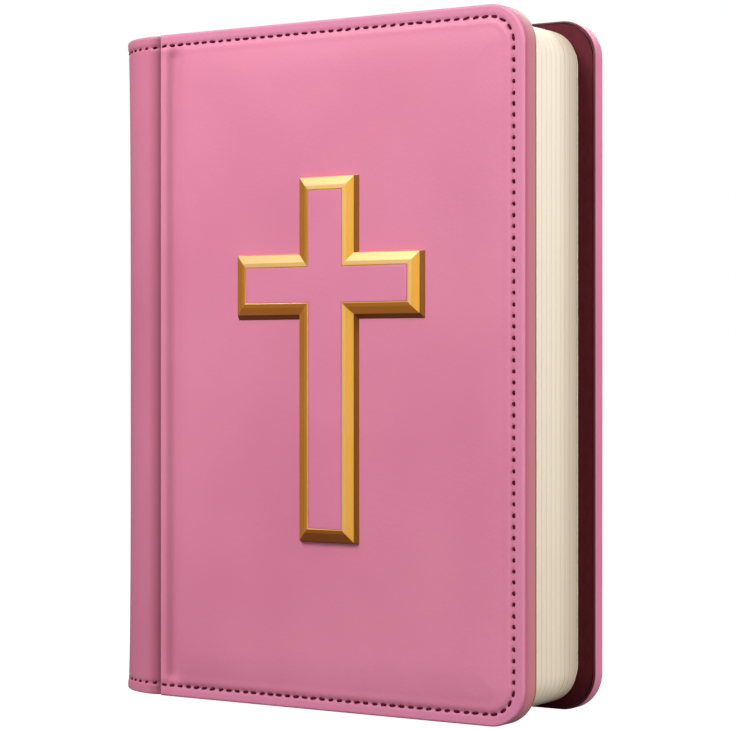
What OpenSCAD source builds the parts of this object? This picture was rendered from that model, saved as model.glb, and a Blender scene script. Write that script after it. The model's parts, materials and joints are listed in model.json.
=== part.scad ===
// Prayer book standing upright: padded leatherette case, sewn text block and a raised cross frame.
// The front cover faces -Y, the spine is at -X, and the tail edges stand on z = 0.

/* [Book] */
// Height of the covers
book_h = 170; // [150:1:190]
// Width of a cover, from the joint to the fore-edge
cover_w = 108; // [100:1:120]
// Thickness of the closed book over both covers
book_t = 38.9; // [38.5:0.1:42]
// Radius of the covers' fore-edge corners
corner_r = 10; // [7:0.5:12]

/* [Covers] */
// Thickness of the front cover
front_t = 6; // [5.6:0.1:7]
// Thickness of the back cover
back_t = 4.3; // [4.2:0.1:6]
// Thickness of the leatherette
leather_t = 1; // [0.8:0.1:1.2]
// Thickness of a cover board
board_t = 2; // [1.5:0.1:2.2]
// Thickness of the lining
lining_t = 0.8; // [0.5:0.1:1]
// Height of the padded field above the border of the front cover
crown_h = 0.6; // [0.3:0.1:1]
// Distance from the cover's edges to the padded field
crown_inset = 7; // [6:0.5:9]

/* [Spine] */
// Step down from the cover face to the spine at the joint
spine_step = 0.9; // [0.6:0.1:1.2]
// How far the rolled caps at head and tail stand proud of the spine
cap_proud = 0.6; // [0.3:0.1:0.6]
// Height of a rolled cap
cap_h = 2.4; // [2:0.1:3]
// Thickness of the spine card
card_t = 0.7; // [0.5:0.1:0.8]

/* [Text block] */
// Number of sewn sections
section_count = 12; // [6:2:14]
// Distance from the page edges to the cover's fore-edge
fore_square = 4.2; // [3:0.1:6]
// Distance from the page edges to the cover's head and tail
head_square = 2.75; // [2:0.05:4]
// Radius of the pages' fore-edge corners
page_corner_r = 10; // [5:0.5:11]
// Distance from the joint to the line where the leaves turn
gutter_x = 2; // [1.5:0.1:3]
// Length over which the root of a section thickens to its full thickness
root_taper = 19; // [15:1:25]

/* [Stitching] */
// Distance of the stitch line from the cover's edge
stitch_inset = 2.9; // [2.5:0.1:3.5]
// Distance from one stitch to the next
stitch_pitch = 2.6; // [2.4:0.1:3.2]
// Length of a stitch
stitch_l = 1.6; // [1.2:0.1:1.9]
// Thickness of the thread
thread_d = 0.7; // [0.5:0.1:0.9]

/* [Cross] */
// Height of the pink opening of the cross
cross_h = 83; // [70:0.5:90]
// Span of the pink opening of the cross
cross_span = 47.8; // [40:0.2:54]
// Width of the opening in the upright
upright_w = 9.9; // [8:0.1:12]
// Width of the opening in the arms
arm_w = 8.8; // [8:0.1:12]
// Height of the middle of the arms above the tail edge
arm_z = 104.8; // [98:0.2:112]
// Height of the opening's foot above the tail edge
cross_foot_z = 45; // [40:0.2:52]
// Width of the frame's bevelled band
band_w = 3.3; // [2.5:0.1:4]
// How far the frame stands above the padded field
frame_h = 2.4; // [1.8:0.1:3]

/* [Hidden] */
$fn = 96;
gap = 0.05;                             // space left between loose layers
over = 0.01;                            // overlap that joins two bodies of one solid
joint_gap = 0.3;                        // space between the spine's inner layers and the covers
card_inset = 1;                         // spine card's distance from the ends of the spine
spine_lining_t = 0.5;
channel_w = thread_d + 0.4;             // channel that the stitches are pulled into
channel_d = thread_d + 0.05;

pocket_inset = leather_t + 0.2;         // leather left at a cover's edge beside its board
lining_inset = 0.6;                     // leather left at a cover's edge beside its lining
front_foam_t = front_t - leather_t - board_t - lining_t;
back_foam_t = back_t - leather_t - board_t - lining_t;

mid_y = book_t / 2;
spine_r = mid_y - spine_step;           // outer radius of the spine
spine_x = -spine_step;                  // centre line of the spine's arc
spine_reach = spine_r + cap_proud - spine_x;

endpaper_t = 0.3;
block_y0 = front_t + endpaper_t + 2 * gap;
block_y1 = book_t - back_t - endpaper_t - 2 * gap;
block_mid = (block_y0 + block_y1) / 2;
block_r = (block_y1 - block_y0) / 2;    // radius of the rounded back of the sections
section_pitch = 2 * block_r / section_count;
root_t = 0.2;                           // thickness of a section at its root
page_x1 = cover_w - fore_square;
page_z0 = head_square;
page_z1 = book_h - head_square;

back_x1 = spine_x - 1;                  // where the layers over the rounded backs end
back_sweep = 160;                       // part of the rounded back that threads and bands follow
tape_t = 0.3;
tape_w = 12;
tape_heights = [0.22, 0.5, 0.78];       // places of the tapes as parts of the page height
mull_t = 0.3;
mull_r = block_r + tape_t + 2 * gap;
mull_end = 9;                           // bare stretch of the backs above and below the mull
tube_r = mull_r + mull_t + gap;
tube_end = 2;                           // bare stretch of the backs above and below the tube
tube_wall = 0.15;
tube_slot = 0.2;
thread_r = 0.15;
kettle_inset = 8;                       // kettle stitches' distance from head and tail
band_r = 0.9;                           // radius of the head and tail bands

cross_x = cover_w / 2 - 0.5;
face_y = -crown_h;                      // face of the padded field
inlay_sink = 0.2;
wall_flare = 0.9;                       // how far the frame's foot flares out
foot_h = 0.9;
prong_r = 0.8;
prong_clear = 0.06;
prong_y1 = front_t - lining_t - 0.3;    // the prongs end just under the lining
prong_reach = 18;                       // place of the arm prongs from the middle
washer_r = 2.2;
washer_t = 0.5;
washer_y1 = front_t - lining_t - 0.2;
prongs = [
    [cross_x, cross_foot_z - band_w / 2],
    [cross_x, cross_foot_z + cross_h + band_w / 2],
    [cross_x - prong_reach, arm_z + arm_w / 2 + band_w / 2],
    [cross_x + prong_reach, arm_z + arm_w / 2 + band_w / 2]
];

// The finished book is centred over the origin.
bottom_centre = [-(cover_w - spine_reach) / 2, -(book_t + face_y - frame_h) / 2, 0];

function section_name(i) = str("section_", i < 10 ? "0" : "", i);
SECTIONS = [for (i = [1:section_count]) section_name(i)];

pink = [0.83, 0.5, 0.6];
maroon = [0.34, 0.13, 0.15];
thread_red = [0.36, 0.08, 0.18];
cream = [0.93, 0.88, 0.8];
gold = [0.85, 0.65, 0.3];
grey_board = [0.6, 0.57, 0.52];
foam_white = [0.93, 0.92, 0.88];
linen = [0.82, 0.78, 0.68];

// Outline in x and z with square corners at x0 and round corners at x1.
module sheet_outline(x0, x1, z0, z1, r) {
    translate([x0, z0]) square([x1 - r - x0, z1 - z0]);
    translate([x1 - 2 * r, z0 + r]) square([2 * r, z1 - z0 - 2 * r]);
    for (z = [z0 + r, z1 - r]) translate([x1 - r, z]) circle(r);
}

// A cover's outline, made smaller by inset on every side.
module cover_outline(inset = 0) {
    sheet_outline(inset, cover_w - inset, inset, book_h - inset, corner_r - inset);
}

// Extrudes an outline in x and z from y0 to y1.
module layer(y0, y1) {
    translate([0, y1, 0]) rotate([90, 0, 0]) linear_extrude(y1 - y0) children();
}

// Round hole or pin along y at a place in x and z.
module rod_y(place, r, y0, y1) {
    translate([place[0], y1, place[1]]) rotate([90, 0, 0]) cylinder(r = r, h = y1 - y0);
}

// D-shaped outline in x and y: an arc of radius r round mid with straight sides, cut off at x1.
module spine_profile(r, mid, x1) {
    intersection() {
        union() {
            translate([spine_x, mid]) circle(r);
            translate([spine_x, mid - r]) square([cover_w, 2 * r]);
        }
        translate([-book_t, mid - book_t]) square([book_t + x1, 2 * book_t]);
    }
}

// Curved shell of a spine layer between two radii.
module spine_shell(r_out, t, mid, z0, z1, x1 = 0) {
    translate([0, 0, z0]) linear_extrude(z1 - z0) difference() {
        spine_profile(r_out, mid, x1);
        spine_profile(r_out - t, mid, x1 + 1);
    }
}

// Channel in which the stitches lie, round the three free sides of a cover.
module stitch_channel() {
    near = stitch_inset - channel_w / 2;
    far = stitch_inset + channel_w / 2;
    difference() {
        sheet_outline(-1, cover_w - near, near, book_h - near, corner_r - near);
        sheet_outline(-2, cover_w - far, far, book_h - far, corner_r - far);
    }
}

// One stitch: a short stretch of thread along x or z.
module stitch(along_x) {
    rotate([0, along_x ? 90 : 0, 0]) cylinder(d = thread_d, h = stitch_l, center = true, $fn = 24);
}

// Stitches round three sides of a cover on the face at y.
module cover_stitches(y) {
    straight_x = cover_w - corner_r;
    count_x = round(straight_x / stitch_pitch);
    for (z = [stitch_inset, book_h - stitch_inset], i = [0:count_x - 1])
        translate([(i + 0.5) * straight_x / count_x, y, z]) stitch(true);
    side_h = book_h - 2 * corner_r;
    count_z = floor(side_h / stitch_pitch);
    for (i = [0:count_z - 1])
        translate([cover_w - stitch_inset, y, corner_r + (i + 0.5) * side_h / count_z]) stitch(false);
    turn_r = corner_r - stitch_inset;
    count_turn = round(PI * turn_r / 2 / stitch_pitch);
    for (end = [-1, 1], i = [0:count_turn - 1])
        translate([cover_w - corner_r, y, end < 0 ? corner_r : book_h - corner_r])
            rotate([0, -end * (i + 0.5) * 90 / count_turn, 0]) translate([turn_r, 0, 0]) stitch(false);
}

module spine_leather() color(pink) translate(bottom_centre) {
    difference() {
        spine_shell(spine_r, leather_t, mid_y, 0, book_h);
        for (z = [stitch_inset, book_h - stitch_inset])
            spine_shell(spine_r + 1, 1 + channel_d, mid_y, z - channel_w / 2, z + channel_w / 2, 1);
    }
    for (z = [0, book_h - cap_h])
        spine_shell(spine_r + cap_proud, cap_proud + leather_t / 2, mid_y, z, z + cap_h);
}

module spine_card() color(grey_board) translate(bottom_centre)
    spine_shell(spine_r - leather_t - gap, card_t, mid_y, card_inset, book_h - card_inset, -joint_gap);

module spine_lining() color(maroon) translate(bottom_centre)
    spine_shell(spine_r - leather_t - card_t - 2 * gap, spine_lining_t, mid_y,
        lining_inset, book_h - lining_inset, -joint_gap);

module spine_stitching() color(thread_red) translate(bottom_centre) {
    step = 360 * stitch_pitch / (2 * PI * spine_r);
    count = floor(180 / step);
    for (z = [stitch_inset, book_h - stitch_inset], i = [0:count - 1])
        translate([spine_x, mid_y, z]) rotate([0, 0, 90 + (180 - count * step) / 2 + (i + 0.5) * step])
            translate([spine_r - thread_d / 2, 0, 0])
                rotate([90, 0, 0]) cylinder(d = thread_d, h = stitch_l, center = true, $fn = 24);
}

module hollow_tube() color(linen) translate(bottom_centre) {
    tube_t = 2 * tube_wall + tube_slot;
    difference() {
        spine_shell(tube_r + tube_t, tube_t, block_mid, page_z0 + tube_end, page_z1 - tube_end, back_x1);
        spine_shell(tube_r + tube_wall + tube_slot, tube_slot, block_mid, 0, book_h, back_x1 - 1);
    }
}

module mull() color(linen) translate(bottom_centre)
    spine_shell(mull_r + mull_t, mull_t, block_mid, page_z0 + mull_end, page_z1 - mull_end, back_x1);

module sewing_tapes() color(linen) translate(bottom_centre)
    for (part = tape_heights) {
        z = page_z0 + part * (page_z1 - page_z0);
        spine_shell(block_r + gap + tape_t, tape_t, block_mid, z - tape_w / 2, z + tape_w / 2, back_x1);
    }

// Strand of thread that follows the rounded back at height z.
module back_strand(z) {
    translate([spine_x, block_mid, z]) rotate([0, 0, 180 - back_sweep / 2]) rotate_extrude(angle = back_sweep)
        translate([block_r + thread_r + gap / 2, 0]) circle(thread_r, $fn = 24);
}

module sewing_thread() color(cream) translate(bottom_centre) {
    for (z = [page_z0 + kettle_inset, page_z1 - kettle_inset]) back_strand(z);
    for (part = tape_heights, side = [-1, 1])
        back_strand(page_z0 + part * (page_z1 - page_z0) + side * (tape_w / 2 + 1));
}

module bound_folds() color(cream) translate(bottom_centre)
    for (i = [0:section_count - 1])
        translate([0, 0, page_z0]) linear_extrude(page_z1 - page_z0) intersection() {
            spine_profile(block_r, block_mid, gutter_x);
            translate([-book_t, block_y0 + i * section_pitch + gap / 2])
                square([2 * book_t, section_pitch - gap]);
        }

// Band round the end of the backs, its wire lying just above the page edges.
module end_band(z) {
    translate([spine_x, block_mid, z]) rotate([0, 0, 180 - back_sweep / 2]) rotate_extrude(angle = back_sweep)
        translate([block_r - band_r, 0]) circle(band_r, $fn = 24);
}

module headband() color(maroon) translate(bottom_centre) end_band(page_z1 + band_r + gap);
module tailband() color(maroon) translate(bottom_centre) end_band(page_z0 - band_r - gap);

module front_leather() color(pink) translate(bottom_centre) difference() {
    union() {
        layer(0, front_t) cover_outline();
        layer(face_y, over) cover_outline(crown_inset);
    }
    layer(leather_t, front_t - lining_t) cover_outline(pocket_inset);
    layer(front_t - lining_t - over, front_t + 1) cover_outline(lining_inset);
    layer(-1, channel_d) stitch_channel();
    for (p = prongs) rod_y(p, prong_r + prong_clear, face_y - 1, leather_t + 1);
}

module front_foam() color(foam_white) translate(bottom_centre) difference() {
    layer(leather_t + gap, leather_t + front_foam_t) cover_outline(pocket_inset + gap);
    for (p = prongs) rod_y(p, prong_r + prong_clear, 0, front_t);
}

module front_board() color(grey_board) translate(bottom_centre) {
    y0 = leather_t + front_foam_t + gap;
    y1 = front_t - lining_t;
    difference() {
        layer(y0, y1) cover_outline(pocket_inset + gap);
        for (p = prongs) {
            rod_y(p, prong_r + prong_clear, 0, front_t);
            rod_y(p, washer_r + prong_clear, washer_y1 - washer_t - gap, front_t);
        }
    }
}

module front_lining() color(maroon) translate(bottom_centre)
    layer(front_t - lining_t + gap, front_t) cover_outline(lining_inset + gap);

module front_stitching() color(thread_red) translate(bottom_centre)
    cover_stitches(thread_d / 2);

// Outline of the cross, made larger by grow on every side.
module cross_outline(grow) {
    translate([cross_x - upright_w / 2 - grow, cross_foot_z - grow])
        square([upright_w + 2 * grow, cross_h + 2 * grow]);
    translate([cross_x - cross_span / 2 - grow, arm_z - arm_w / 2 - grow])
        square([cross_span + 2 * grow, arm_w + 2 * grow]);
}

module cross_frame() color(gold) translate(bottom_centre) {
    difference() {
        union() {
            layer(face_y - foot_h, face_y) cross_outline(band_w + wall_flare / 2);
            layer(face_y - frame_h + foot_h, face_y - foot_h + over) cross_outline(band_w);
            layer(face_y - frame_h, face_y - frame_h + foot_h + over) cross_outline(band_w / 2);
        }
        layer(face_y - frame_h - 1, face_y + 1) cross_outline(0);
    }
    for (p = prongs) rod_y(p, prong_r, face_y - foot_h, prong_y1);
}

module cross_inlay() color(pink) translate(bottom_centre)
    layer(face_y - frame_h + inlay_sink, face_y) cross_outline(-gap);

module cross_washers() color("silver") translate(bottom_centre) {
    for (p = prongs) difference() {
        rod_y(p, washer_r, washer_y1 - washer_t, washer_y1);
        rod_y(p, prong_r + prong_clear, 0, front_t);
    }
}

module back_leather() color(pink) translate(bottom_centre) difference() {
    layer(book_t - back_t, book_t) cover_outline();
    layer(book_t - back_t + lining_t, book_t - leather_t) cover_outline(pocket_inset);
    layer(book_t - back_t - 1, book_t - back_t + lining_t + over) cover_outline(lining_inset);
    layer(book_t - channel_d, book_t + 1) stitch_channel();
}

module back_foam() color(foam_white) translate(bottom_centre)
    layer(book_t - leather_t - back_foam_t, book_t - leather_t - gap) cover_outline(pocket_inset + gap);

module back_board() color(grey_board) translate(bottom_centre)
    layer(book_t - back_t + lining_t, book_t - leather_t - back_foam_t - gap)
        cover_outline(pocket_inset + gap);

module back_lining() color(maroon) translate(bottom_centre)
    layer(book_t - back_t, book_t - back_t + lining_t - gap) cover_outline(lining_inset + gap);

module back_stitching() color(thread_red) translate(bottom_centre)
    cover_stitches(book_t - thread_d / 2);

module page_outline() {
    sheet_outline(0, page_x1, page_z0, page_z1, page_corner_r);
}

module front_endpaper() color(cream) translate(bottom_centre) intersection() {
    layer(front_t + gap, front_t + gap + endpaper_t) page_outline();
    translate([gutter_x + gap, 0, 0]) cube([cover_w, book_t, book_h]);
}

module back_endpaper() color(cream) translate(bottom_centre) intersection() {
    layer(book_t - back_t - gap - endpaper_t, book_t - back_t - gap) page_outline();
    translate([gutter_x + gap, 0, 0]) cube([cover_w, book_t, book_h]);
}

// One section, thin at its root so that it can turn about the far side of its root.
// The sections of the front half turn towards the front, the others towards the back.
module section(i) {
    y0 = block_y0 + i * section_pitch + gap / 2;
    y1 = y0 + section_pitch - gap;
    to_front = i < section_count / 2;
    hinge_y = to_front ? y1 : y0;
    outer_y = to_front ? y0 : y1;
    root_y = to_front ? y1 - root_t : y0 + root_t;
    x0 = gutter_x + root_t;
    intersection() {
        layer(y0 - 1, y1 + 1) page_outline();
        linear_extrude(book_h) polygon([
            [x0, hinge_y], [cover_w, hinge_y], [cover_w, outer_y], [x0 + root_taper, outer_y], [x0, root_y]
        ]);
    }
}

spine_leather();
spine_card();
spine_lining();
spine_stitching();
hollow_tube();
mull();
sewing_tapes();
sewing_thread();
bound_folds();
headband();
tailband();
front_leather();
front_foam();
front_board();
front_lining();
front_stitching();
cross_frame();
cross_inlay();
cross_washers();
back_leather();
back_foam();
back_board();
back_lining();
back_stitching();
front_endpaper();
back_endpaper();
for (i = [0:section_count - 1])
    color(cream) translate(bottom_centre) section(i);
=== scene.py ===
import json
import math
import random

import bmesh
import bpy
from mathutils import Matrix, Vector


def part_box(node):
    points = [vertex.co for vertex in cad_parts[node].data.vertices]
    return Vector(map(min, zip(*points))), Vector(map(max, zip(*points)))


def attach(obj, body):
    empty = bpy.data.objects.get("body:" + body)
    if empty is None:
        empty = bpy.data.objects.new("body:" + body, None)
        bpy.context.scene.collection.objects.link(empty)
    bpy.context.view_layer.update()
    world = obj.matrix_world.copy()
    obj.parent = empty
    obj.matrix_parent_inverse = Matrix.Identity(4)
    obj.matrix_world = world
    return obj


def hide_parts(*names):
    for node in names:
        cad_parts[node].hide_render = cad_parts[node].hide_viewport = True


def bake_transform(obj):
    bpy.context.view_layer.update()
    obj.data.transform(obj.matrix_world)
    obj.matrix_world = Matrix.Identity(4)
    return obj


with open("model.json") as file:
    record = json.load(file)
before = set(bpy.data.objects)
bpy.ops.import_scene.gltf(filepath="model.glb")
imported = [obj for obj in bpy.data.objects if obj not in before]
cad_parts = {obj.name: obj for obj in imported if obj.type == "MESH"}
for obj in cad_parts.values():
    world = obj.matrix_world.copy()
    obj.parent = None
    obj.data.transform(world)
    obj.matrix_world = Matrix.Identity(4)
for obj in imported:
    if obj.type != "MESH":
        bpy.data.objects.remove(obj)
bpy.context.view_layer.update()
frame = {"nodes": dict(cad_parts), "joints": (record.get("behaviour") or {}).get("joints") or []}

# Lengths in this script are millimetres from the front hinge, where x runs to the fore-edge,
# y from the front cover's face into the book and z up from the tail edge.
MM = 0.001
JOINTS = {joint["name"]: joint for joint in frame["joints"]}
ORIGIN = Vector(JOINTS["front_cover_hinge"]["pos_m"])


def box_mm(node):
    """Lowest and highest corner of a CAD node."""
    low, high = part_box(node)
    return (low - ORIGIN) / MM, (high - ORIGIN) / MM


FRONT_HIGH = box_mm("front_leather")[1]
BACK_LOW, BACK_HIGH = box_mm("back_leather")
COVER_W = FRONT_HIGH.x
COVER_H = FRONT_HIGH.z
FRONT_T = FRONT_HIGH.y
BOOK_T = BACK_HIGH.y
BACK_T = BOOK_T - BACK_LOW.y
CORNER_R = 9.5

# Cover leather
EDGE_R = 0.55
RIM_W = 0.6
CAVITY_INSET = 1.2
LINING_T = 0.8
FLOOR_T = 1.05
CROWN_H = 0.9
DOME_H = 0.1
GROOVE_H = 0.85
GROOVE_START = 1.5
GROOVE_X = 4.1
GROOVE_END = 8.5
GROOVE_RISE = 9.0
PAD_START = 3.0
PAD_RISE = 12.0
FINE_STEP = 0.4
COARSE_STEP = 0.65
FINE_ZONE = 8.0
ARC_STEPS = 22

# Stitching
STITCH_INSET = 2.9
STITCH_PITCH = 2.6
STITCH_DIP = 0.34
DIP_WIDTH = 0.55
THREAD_R = 0.36
ROW_STITCHES = round((COVER_W - CORNER_R) / STITCH_PITCH)
ROW_PITCH = (COVER_W - CORNER_R) / ROW_STITCHES
CORNER_STITCHES = round(math.pi * (CORNER_R - STITCH_INSET) / 2 / STITCH_PITCH)

# Spine
SPINE_STEP = 0.9
SPINE_R = BOOK_T / 2 - SPINE_STEP
SPINE_ARC = math.pi * SPINE_R
SPINE_STITCHES = math.floor(SPINE_ARC / STITCH_PITCH)
SPINE_START = (SPINE_ARC - SPINE_STITCHES * STITCH_PITCH) / 2
SPINE_STITCH_INSET = STITCH_INSET + 0.1
SPINE_T = 1.0
CAP_H = 2.5
SPINE_SINK = 0.9
SPINE_PUFF = 0.65

# Text block
BLOCK_LOW, BLOCK_HIGH = box_mm("bound_folds")
BLOCK_R = (BLOCK_HIGH.y - BLOCK_LOW.y) / 2
BLOCK_MID = (BLOCK_HIGH.y + BLOCK_LOW.y) / 2
PAGE_X1 = box_mm("section_01")[1].x
PAGE_CORNER_R = 8.5
TAIL_PROUD = 0.9
HEAD_PROUD = 0.4
LEAVES = 9
BEND_START = 1.5
BEND_END = 20.0
TAIL_TINT_H = 60.0

# Cross
CROSS_LOW, CROSS_HIGH = box_mm("cross_inlay")
CROSS_X = (CROSS_LOW.x + CROSS_HIGH.x) / 2
UPRIGHT_W = 9.9
ARM_W = 8.8
ARM_Z = 104.8
BAND_W = 3.3

# Camera, at the photograph's viewing angle
VIEW_AZIMUTH = math.radians(33.69)
VIEW_DISTANCE = 622.3
VIEW_AIM = (48.0, 22.9, 85.2)
LENS = 120.8


def to_frame(x, y, z):
    """The place in the frame, in metres, of a point given in this script's millimetres."""
    return ORIGIN.x + x * MM, ORIGIN.y + y * MM, ORIGIN.z + z * MM


def smooth_step(value, start, end):
    """0 up to start, 1 from end, and a smooth rise between them."""
    t = min(1.0, max(0.0, (value - start) / (end - start)))
    return t * t * (3 - 2 * t)


def swell(value, width):
    """0 below 0, then a rise that is steep at first and level from width on, like a stuffed pad."""
    t = min(1.0, max(0.0, value / width))
    return 1 - (1 - t) ** 2.4


def bump(value, middle, width):
    """1 at middle, falling off smoothly to both sides."""
    return math.exp(-(((value - middle) / width) ** 2))


def ring_faces(first, count, rings):
    """Faces between neighbouring rings of count points each, from vertex first on."""
    faces = []
    for ring in range(rings - 1):
        for i in range(count):
            a = first + ring * count + i
            b = first + ring * count + (i + 1) % count
            faces.append((a, b, b + count, a + count))
    return faces


def rod_faces(first, count, rings):
    """Faces of a rod: its rings, and a cap at each end."""
    last = first + (rings - 1) * count
    caps = [list(range(first, first + count)), list(range(last, last + count))]
    return ring_faces(first, count, rings) + caps


def make_piece(name, vertices, faces, material, paint=None, smooth_angle=35.0):
    """A closed mesh piece. paint holds a rule for each float attribute, from a vertex's place."""
    mesh = bpy.data.meshes.new(name)
    mesh.from_pydata([to_frame(*v) for v in vertices], [], faces)
    form = bmesh.new()
    form.from_mesh(mesh)
    bmesh.ops.remove_doubles(form, verts=form.verts, dist=0.004 * MM)
    bmesh.ops.recalc_face_normals(form, faces=form.faces)
    form.to_mesh(mesh)
    form.free()
    for attribute, rule in (paint or {}).items():
        values = [rule(*((v.co - ORIGIN) / MM)) for v in mesh.vertices]
        mesh.attributes.new(attribute, "FLOAT", "POINT").data.foreach_set("value", values)
    mesh.shade_smooth()
    mesh.set_sharp_from_angle(angle=math.radians(smooth_angle))
    mesh.materials.append(material)
    piece = bpy.data.objects.new(name, mesh)
    bpy.context.scene.collection.objects.link(piece)
    return piece


# ---------------------------------------------------------------- materials


def srgb(red, green, blue):
    """A linear colour from 0 to 255 display values."""
    return tuple(
        c / 12.92 if c <= 0.04045 else ((c + 0.055) / 1.055) ** 2.4
        for c in (red / 255, green / 255, blue / 255)
    ) + (1.0,)


class Look:
    """A procedural material: its Principled shader and short ways to add nodes."""

    def __init__(self, name, **settings):
        self.material = bpy.data.materials.new(name)
        self.material.use_nodes = True
        self.tree = self.material.node_tree
        self.shader = self.tree.nodes["Principled BSDF"]
        for key, value in settings.items():
            self.shader.inputs[key.replace("_", " ")].default_value = value
        self.place = self.tree.nodes.new("ShaderNodeTexCoord").outputs["Object"]

    def add(self, kind, inputs=None, **settings):
        """A node with its inputs linked or set."""
        node = self.tree.nodes.new(kind)
        for key, value in settings.items():
            setattr(node, key, value)
        for key, value in (inputs or {}).items():
            if isinstance(value, bpy.types.NodeSocket):
                self.tree.links.new(value, node.inputs[key])
            else:
                node.inputs[key].default_value = value
        return node

    def scaled(self, x, y, z):
        """The place, stretched by a factor along each axis."""
        return self.add("ShaderNodeMapping", {"Vector": self.place, "Scale": (x, y, z)}).outputs[0]

    def noise(self, scale, detail=3.0, roughness=0.55, vector=None):
        inputs = {"Scale": scale, "Detail": detail, "Roughness": roughness, "Vector": vector or self.place}
        return self.add("ShaderNodeTexNoise", inputs).outputs[0]

    def cells(self, scale):
        inputs = {"Scale": scale, "Vector": self.place}
        return self.add("ShaderNodeTexVoronoi", inputs, feature="SMOOTH_F1").outputs["Distance"]

    def waves(self, scale, vector=None, direction="X", distortion=0.0):
        inputs = {"Scale": scale, "Vector": vector or self.place, "Distortion": distortion}
        return self.add("ShaderNodeTexWave", inputs, bands_direction=direction).outputs[0]

    def attribute(self, name):
        return self.add("ShaderNodeAttribute", attribute_name=name).outputs["Fac"]

    def remap(self, value, low, high, to_low=0.0, to_high=1.0):
        """value, moved from the range low to high into the range to_low to to_high."""
        inputs = {"Value": value, 1: low, 2: high, 3: to_low, 4: to_high}
        return self.add("ShaderNodeMapRange", inputs).outputs[0]

    def maths(self, operation, a, b):
        return self.add("ShaderNodeMath", {0: a, 1: b}, operation=operation).outputs[0]

    def mix(self, factor, a, b):
        """Colour a, going over to colour b as factor goes from 0 to 1."""
        return self.add("ShaderNodeMix", {0: factor, 6: a, 7: b}, data_type="RGBA").outputs[2]

    def ramp(self, value, stops):
        """A colour for value from a list of (position, colour) stops."""
        node = self.add("ShaderNodeValToRGB", {0: value})
        elements = node.color_ramp.elements
        elements[0].position, elements[0].color = stops[0]
        elements[1].position, elements[1].color = stops[-1]
        for position, colour in stops[1:-1]:
            elements.new(position).color = colour
        return node.outputs[0]

    def bumps(self, *layers):
        """Adds bump layers, each (height, strength, depth in millimetres)."""
        normal = None
        for height, strength, depth in layers:
            inputs = {"Height": height, "Strength": strength, "Distance": depth * MM}
            if normal:
                inputs["Normal"] = normal
            normal = self.add("ShaderNodeBump", inputs).outputs[0]
        self.link("Normal", normal)

    def link(self, name, value):
        self.tree.links.new(value, self.shader.inputs[name])


LEATHER_LIGHT = srgb(214, 127, 156)
LEATHER_DEEP = srgb(207, 119, 149)
LEATHER_BORDER = srgb(210, 127, 157)
# Painted shade for the groove and creases at the joints and for the spine
LEATHER_PAINTED_SHADE = srgb(142, 68, 92)
LINING_DARK = srgb(84, 22, 32)
# Paler leather for rubbed edges and for a painted highlight on the ridge at the joint
LEATHER_WEAR_AND_HIGHLIGHT = srgb(228, 160, 182)
# Colours of a cover's wall from its edge down to its lining: painted shade, duller and darker downwards
WALL_PAINTED_SHADE_STOPS = [
    (0.0, srgb(204, 108, 146)),
    (0.14, srgb(184, 94, 120)),
    (0.4, srgb(192, 118, 128)),
    (0.8, srgb(188, 124, 124)),
    (0.92, srgb(140, 92, 86)),
    (1.0, srgb(96, 48, 48)),
]
# Colours of the gold, painted shade from the darkest undersides to the lit crests
GOLD_PAINTED_SHADE_STOPS = [
    (0.0, srgb(118, 62, 18)),
    (0.12, srgb(136, 78, 12)),
    (0.3, srgb(138, 74, 18)),
    (0.45, srgb(184, 112, 36)),
    (0.6, srgb(190, 122, 38)),
    (0.78, srgb(232, 170, 62)),
    (0.86, srgb(234, 182, 108)),
    (1.0, srgb(210, 168, 108)),
]


def leather_paint(**rules):
    """Rules for the leather's attributes, with 0 everywhere for those not given."""
    names = ("border", "wall", "turn", "fold", "wear")
    return {name: rules.get(name, lambda x, y, z: 0.0) for name in names}


def leatherette():
    """Smooth satin leatherette, pinker and flatter at the border, with painted shade on the front cover's
    wall, in the groove and creases at the joints and over the spine, and a painted highlight on the ridge
    at the joint.
    """
    look = Look("leatherette_pink", Specular_IOR_Level=0.36, Sheen_Weight=0.04, Sheen_Roughness=0.45)
    cloudy = look.remap(look.noise(22.0, 2.0), 0.35, 0.65)
    base = look.mix(cloudy, LEATHER_DEEP, LEATHER_LIGHT)
    mottled = look.remap(look.noise(260.0, 3.0), 0.3, 0.7, 0.0, 0.16)
    base = look.mix(mottled, base, LEATHER_DEEP)
    border = look.mix(look.attribute("border"), base, LEATHER_BORDER)
    # Painted shade on the cover's wall, darker towards the lining.
    wall = look.ramp(look.attribute("wall"), WALL_PAINTED_SHADE_STOPS)
    on_wall = look.remap(look.attribute("wall"), 0.001, 0.05)
    # Painted shade in the groove and creases at the joints and over the spine.
    base = look.mix(look.attribute("fold"), look.mix(on_wall, border, wall), LEATHER_PAINTED_SHADE)
    base = look.mix(look.attribute("turn"), base, LINING_DARK)
    # Rubbing on the edges, and a painted highlight on the ridge at the joint.
    worn_and_highlighted = look.remap(look.attribute("wear"), 0.0, 1.0, 0.0, 0.35)
    look.link("Base Color", look.mix(worn_and_highlighted, base, LEATHER_WEAR_AND_HIGHLIGHT))
    look.link("Roughness", look.remap(look.noise(420.0, 2.0), 0.3, 0.7, 0.4, 0.52))
    pores = look.cells(1200.0)
    wrinkles = look.noise(650.0, 3.0, 0.6)
    look.bumps((pores, 0.35, 0.06), (wrinkles, 0.2, 0.08), (look.noise(60.0, 2.0), 0.12, 0.35))
    return look.material


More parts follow.
